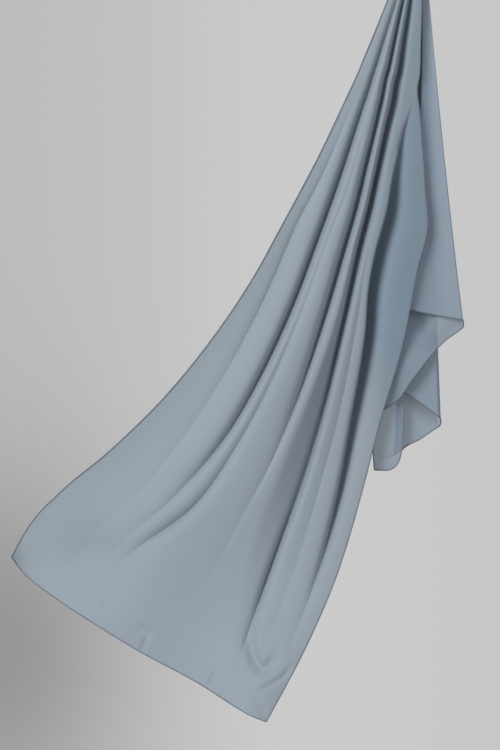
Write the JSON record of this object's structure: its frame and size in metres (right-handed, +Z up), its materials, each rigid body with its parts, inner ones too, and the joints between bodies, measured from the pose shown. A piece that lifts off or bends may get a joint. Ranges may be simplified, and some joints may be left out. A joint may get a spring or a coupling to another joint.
{
  "type": "hijab headscarf",
  "caption": "Rectangular chiffon headscarf with rolled hems, gathered at one held point, one half swung out as a folded wing and the other hanging in layers.",
  "frame": {"origin": "the held point, in the middle of the gathered tip", "axes": "+Z up, +X to the viewer's right, +Y away from the viewer of the wing's outer side"},
  "size_m": [0.7366, 0.1879, 1.2422],
  "materials": {
    "chiffon_wing": "matte crepe chiffon, slightly see-through",
    "chiffon_fall": "matte crepe chiffon, slightly see-through",
    "rolled_hem": "rolled and stitched chiffon edge",
    "chiffon_gather": "tightly gathered chiffon"
  },
  "bodies": {
    "root": {"flying_panel": "chiffon_wing", "middle_fold": "chiffon_wing", "cascade_front": "chiffon_fall", "cascade_return": "chiffon_fall", "second_fall": "chiffon_fall", "second_return": "chiffon_fall", "tail_link": "chiffon_fall", "tail_strip": "chiffon_fall", "hem_flying_side": "rolled_hem", "hem_middle_side": "rolled_hem", "hem_flying_end": "rolled_hem", "hem_inner_side": "rolled_hem", "hem_tail_side": "rolled_hem", "hem_cascade_end": "rolled_hem", "gathered_tip": "chiffon_gather"}
  },
  "joints": []
}
